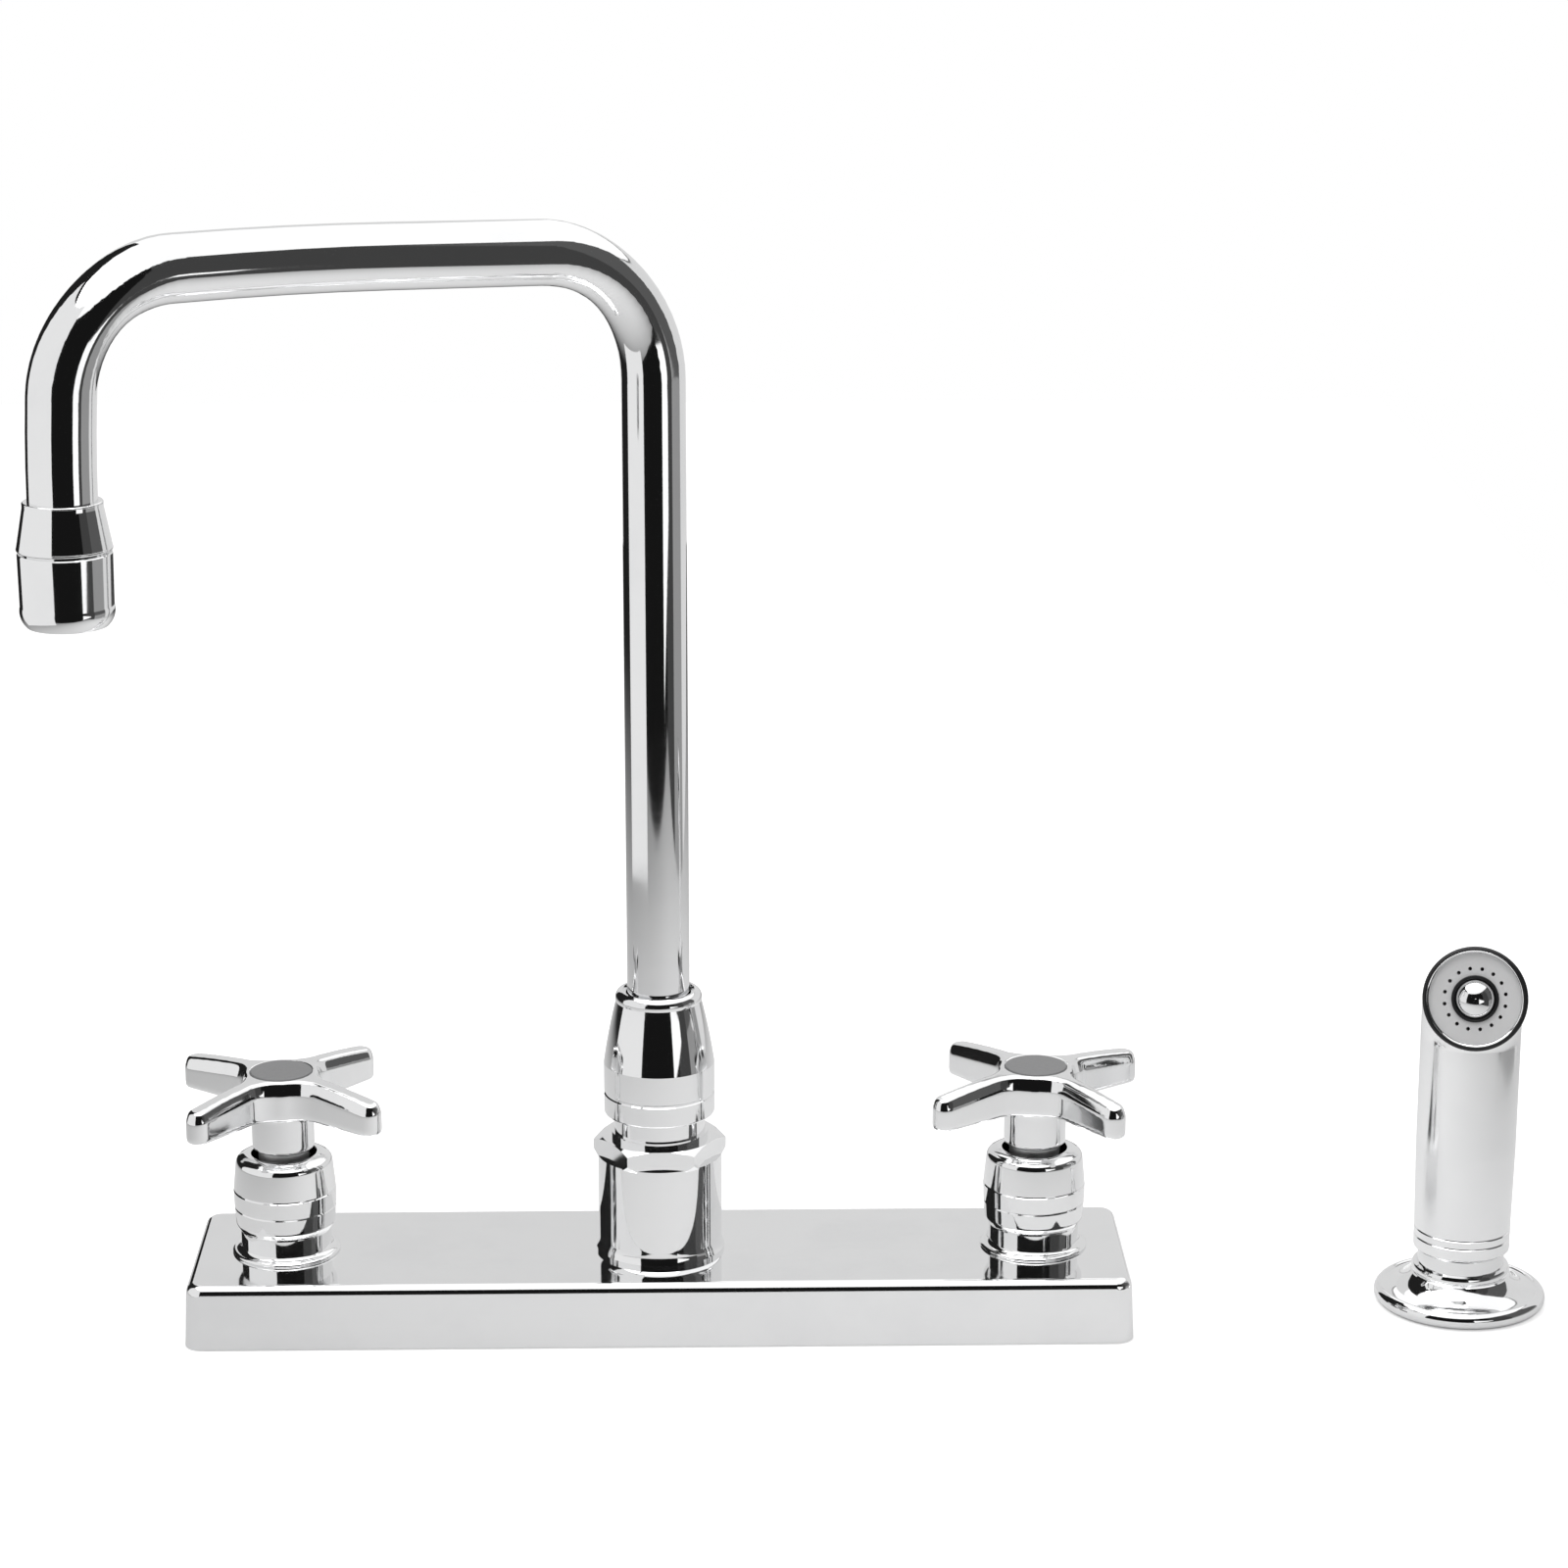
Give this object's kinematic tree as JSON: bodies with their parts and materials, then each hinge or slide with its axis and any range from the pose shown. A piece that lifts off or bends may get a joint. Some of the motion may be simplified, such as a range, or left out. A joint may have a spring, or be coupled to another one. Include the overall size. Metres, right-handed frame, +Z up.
{
  "type": "deck-mount gooseneck faucet",
  "caption": "Two-handle kitchen faucet on a long deck plate, with a swinging square-bend gooseneck spout, cross handles and a separate side spray.",
  "frame": {"origin": "middle of the deck plate, on the surface of the deck", "axes": "+X along the plate to the side spray, +Y to the wall behind the sink, +Z up"},
  "size_m": [0.3921, 0.1339, 0.3643],
  "materials": {
    "plate_chrome": "mirror-polished chrome plate",
    "fitting_chrome": "mirror-polished chrome plate",
    "tube_chrome": "mirror-polished chrome plate",
    "handle_chrome": "mirror-polished chrome plate",
    "spray_chrome": "polished chrome plate over moulded plastic",
    "bare_brass": "as-cast and turned brass",
    "steel": "plain stainless steel",
    "index_grey": "satin mid-grey plastic",
    "face_grey": "satin light-grey plastic",
    "nut_plastic": "matte black moulded plastic",
    "white_acetal": "natural white acetal",
    "ceramic": "lapped white ceramic",
    "seal_rubber": "black rubber"
  },
  "bodies": {
    "base": {"deck_cover": "plate_chrome", "cover_gasket": "seal_rubber", "body_casting": "bare_brass", "mounting_washers": "steel", "mounting_nuts": "nut_plastic", "left_bonnet": "fitting_chrome", "left_cartridge": "bare_brass", "left_fixed_disc": "ceramic", "left_seat_seal": "seal_rubber", "right_bonnet": "fitting_chrome", "right_cartridge": "bare_brass", "right_fixed_disc": "ceramic", "right_seat_seal": "seal_rubber", "spout_hub": "fitting_chrome", "hub_washer": "seal_rubber", "spout_nut": "fitting_chrome", "spout_thrust_washer": "white_acetal", "spout_bearing": "white_acetal", "diverter_sleeve": "white_acetal", "spray_guide": "fitting_chrome", "guide_liner": "nut_plastic", "guide_washer": "steel", "guide_nut": "nut_plastic"},
    "spout": {"spout_tube": "tube_chrome", "spout_ferrule": "bare_brass", "spout_seals": "seal_rubber", "outlet_collar": "fitting_chrome", "aerator_housing": "fitting_chrome", "aerator_insert": "white_acetal", "aerator_washer": "seal_rubber"},
    "left_valve": {"left_handle": "handle_chrome", "left_handle_screw": "steel", "left_index_button": "index_grey", "left_stem": "bare_brass", "left_stem_seals": "seal_rubber", "left_moving_disc": "ceramic"},
    "right_valve": {"right_handle": "handle_chrome", "right_handle_screw": "steel", "right_index_button": "index_grey", "right_stem": "bare_brass", "right_stem_seals": "seal_rubber", "right_moving_disc": "ceramic"},
    "diverter": {"diverter_piston": "white_acetal"},
    "hand_spray": {"spray_body": "spray_chrome", "spray_bezel": "spray_chrome", "spray_face": "face_grey", "face_dome": "spray_chrome", "lever_pin": "steel", "valve_seat": "white_acetal", "hose_connector": "bare_brass", "connector_washer": "seal_rubber"},
    "lever": {"thumb_lever": "spray_chrome"},
    "plunger": {"valve_plunger": "white_acetal", "plunger_spring": "steel"}
  },
  "joints": [
    {"name": "spout_swing", "type": "hinge", "parent": "base", "child": "spout", "pos_m": [0, 0, 0.05], "axis": [0, 0, 1], "continuous": true},
    {"name": "left_handle_turn", "type": "hinge", "parent": "base", "child": "left_valve", "pos_m": [-0.1016, 0, 0.03], "axis": [0, 0, 1], "range_deg": [0, 90]},
    {"name": "right_handle_turn", "type": "hinge", "parent": "base", "child": "right_valve", "pos_m": [0.1016, 0, 0.03], "axis": [0, 0, 1], "range_deg": [-90, 0]},
    {"name": "diverter_lift", "type": "slide", "parent": "base", "child": "diverter", "axis": [0, 0, 1], "range_m": [0, 0.0025]},
    {"name": "spray_lift", "type": "slide", "parent": "base", "child": "hand_spray", "axis": [0, 0, 1], "range_m": [0, 0.12]},
    {"name": "lever_press", "type": "hinge", "parent": "hand_spray", "child": "lever", "pos_m": [0.21932, 0.00203, 0.09043], "axis": [-0.9877, 0.1564, 0], "range_deg": [0, 7], "stiffness_Nm_per_rad": 0.5},
    {"name": "plunger_travel", "type": "slide", "parent": "hand_spray", "child": "plunger", "axis": [-0.1564, -0.9877, 0], "range_m": [0, 0.0026]}
  ],
  "couplings": [
    {"joint": "plunger_travel", "follows": "lever_press", "m_per_rad": 0.02043}
  ]
}
